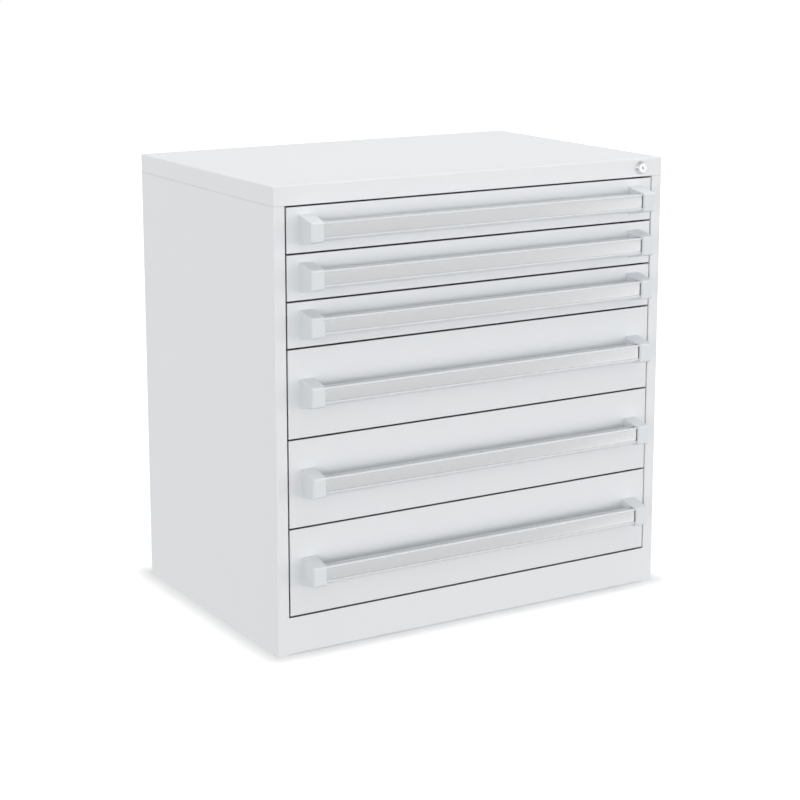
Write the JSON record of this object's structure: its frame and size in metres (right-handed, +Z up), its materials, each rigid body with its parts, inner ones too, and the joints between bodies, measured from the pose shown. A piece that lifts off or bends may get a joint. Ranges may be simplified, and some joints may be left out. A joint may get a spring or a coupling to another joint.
{
  "type": "drawer cabinet",
  "caption": "Free-standing sheet steel cabinet with shallow drawers above deep ones, full-width bar handles with label strips, telescopic slides and a central cylinder lock.",
  "frame": {"origin": "centre of the bounding box in plan, handles included, on the floor", "axes": "+Z up, +X to the right seen from the front, the drawers open towards -Y"},
  "size_m": [0.79, 0.568, 0.8],
  "materials": {
    "carcass_paint": "satin light grey powder coat",
    "front_paint": "satin light grey powder coat",
    "box_paint": "satin light grey powder coat",
    "slide_steel": "bright zinc plate",
    "handle_aluminium": "satin anodised",
    "cap_plastic": "fine matt moulding",
    "label_cover": "clear glossy strip over a blank pale card",
    "lock_chrome": "polished",
    "lock_steel": "bright zinc plate"
  },
  "bodies": {
    "carcass": {"side_panel_left": "carcass_paint", "side_panel_right": "carcass_paint", "back_panel": "carcass_paint", "top_cover": "carcass_paint", "plinth": "carcass_paint", "floor_pan": "carcass_paint", "slide_uprights": "slide_steel", "outer_rails": "slide_steel", "lock_housing": "lock_chrome"},
    "lock": {"lock_plug": "lock_chrome", "lock_cam": "lock_steel"},
    "lock_bar": {"lock_bar": "lock_steel"},
    "drawer_1": {"drawer_1_box": "box_paint", "drawer_1_front": "front_paint", "drawer_1_handle": "handle_aluminium", "drawer_1_caps": "cap_plastic", "drawer_1_label": "label_cover", "drawer_1_inner_rails": "slide_steel", "drawer_1_screws": "lock_steel"},
    "drawer_1_rails": {"drawer_1_middle_rails": "slide_steel"},
    "drawer_2": {"drawer_2_box": "box_paint", "drawer_2_front": "front_paint", "drawer_2_handle": "handle_aluminium", "drawer_2_caps": "cap_plastic", "drawer_2_label": "label_cover", "drawer_2_inner_rails": "slide_steel", "drawer_2_screws": "lock_steel"},
    "drawer_2_rails": {"drawer_2_middle_rails": "slide_steel"},
    "drawer_3": {"drawer_3_box": "box_paint", "drawer_3_front": "front_paint", "drawer_3_handle": "handle_aluminium", "drawer_3_caps": "cap_plastic", "drawer_3_label": "label_cover", "drawer_3_inner_rails": "slide_steel", "drawer_3_screws": "lock_steel"},
    "drawer_3_rails": {"drawer_3_middle_rails": "slide_steel"},
    "drawer_4": {"drawer_4_box": "box_paint", "drawer_4_front": "front_paint", "drawer_4_handle": "handle_aluminium", "drawer_4_caps": "cap_plastic", "drawer_4_label": "label_cover", "drawer_4_inner_rails": "slide_steel", "drawer_4_screws": "lock_steel"},
    "drawer_4_rails": {"drawer_4_middle_rails": "slide_steel"},
    "drawer_5": {"drawer_5_box": "box_paint", "drawer_5_front": "front_paint", "drawer_5_handle": "handle_aluminium", "drawer_5_caps": "cap_plastic", "drawer_5_label": "label_cover", "drawer_5_inner_rails": "slide_steel", "drawer_5_screws": "lock_steel"},
    "drawer_5_rails": {"drawer_5_middle_rails": "slide_steel"},
    "drawer_6": {"drawer_6_box": "box_paint", "drawer_6_front": "front_paint", "drawer_6_handle": "handle_aluminium", "drawer_6_caps": "cap_plastic", "drawer_6_label": "label_cover", "drawer_6_inner_rails": "slide_steel", "drawer_6_screws": "lock_steel"},
    "drawer_6_rails": {"drawer_6_middle_rails": "slide_steel"}
  },
  "joints": [
    {"name": "drawer_1_slide", "type": "slide", "parent": "carcass", "child": "drawer_1", "axis": [0, -1, 0], "range_m": [0, 0.42]},
    {"name": "drawer_1_rails_slide", "type": "slide", "parent": "carcass", "child": "drawer_1_rails", "axis": [0, -1, 0], "range_m": [0, 0.21]},
    {"name": "drawer_2_slide", "type": "slide", "parent": "carcass", "child": "drawer_2", "axis": [0, -1, 0], "range_m": [0, 0.42]},
    {"name": "drawer_2_rails_slide", "type": "slide", "parent": "carcass", "child": "drawer_2_rails", "axis": [0, -1, 0], "range_m": [0, 0.21]},
    {"name": "drawer_3_slide", "type": "slide", "parent": "carcass", "child": "drawer_3", "axis": [0, -1, 0], "range_m": [0, 0.42]},
    {"name": "drawer_3_rails_slide", "type": "slide", "parent": "carcass", "child": "drawer_3_rails", "axis": [0, -1, 0], "range_m": [0, 0.21]},
    {"name": "drawer_4_slide", "type": "slide", "parent": "carcass", "child": "drawer_4", "axis": [0, -1, 0], "range_m": [0, 0.42]},
    {"name": "drawer_4_rails_slide", "type": "slide", "parent": "carcass", "child": "drawer_4_rails", "axis": [0, -1, 0], "range_m": [0, 0.21]},
    {"name": "drawer_5_slide", "type": "slide", "parent": "carcass", "child": "drawer_5", "axis": [0, -1, 0], "range_m": [0, 0.42]},
    {"name": "drawer_5_rails_slide", "type": "slide", "parent": "carcass", "child": "drawer_5_rails", "axis": [0, -1, 0], "range_m": [0, 0.21]},
    {"name": "drawer_6_slide", "type": "slide", "parent": "carcass", "child": "drawer_6", "axis": [0, -1, 0], "range_m": [0, 0.42]},
    {"name": "drawer_6_rails_slide", "type": "slide", "parent": "carcass", "child": "drawer_6_rails", "axis": [0, -1, 0], "range_m": [0, 0.21]},
    {"name": "lock_turn", "type": "hinge", "parent": "carcass", "child": "lock", "pos_m": [0.347, -0.241, 0.7835], "axis": [0, 1, 0], "range_deg": [0, 90]},
    {"name": "lock_bar_slide", "type": "slide", "parent": "carcass", "child": "lock_bar", "axis": [0, 0, -1], "range_m": [0, 0.01131]}
  ],
  "couplings": [
    {"joint": "drawer_1_rails_slide", "follows": "drawer_1_slide", "ratio": 0.5},
    {"joint": "drawer_2_rails_slide", "follows": "drawer_2_slide", "ratio": 0.5},
    {"joint": "drawer_3_rails_slide", "follows": "drawer_3_slide", "ratio": 0.5},
    {"joint": "drawer_4_rails_slide", "follows": "drawer_4_slide", "ratio": 0.5},
    {"joint": "drawer_5_rails_slide", "follows": "drawer_5_slide", "ratio": 0.5},
    {"joint": "drawer_6_rails_slide", "follows": "drawer_6_slide", "ratio": 0.5},
    {"joint": "lock_turn", "follows": "lock_bar_slide", "rad_per_m": 138.84}
  ]
}
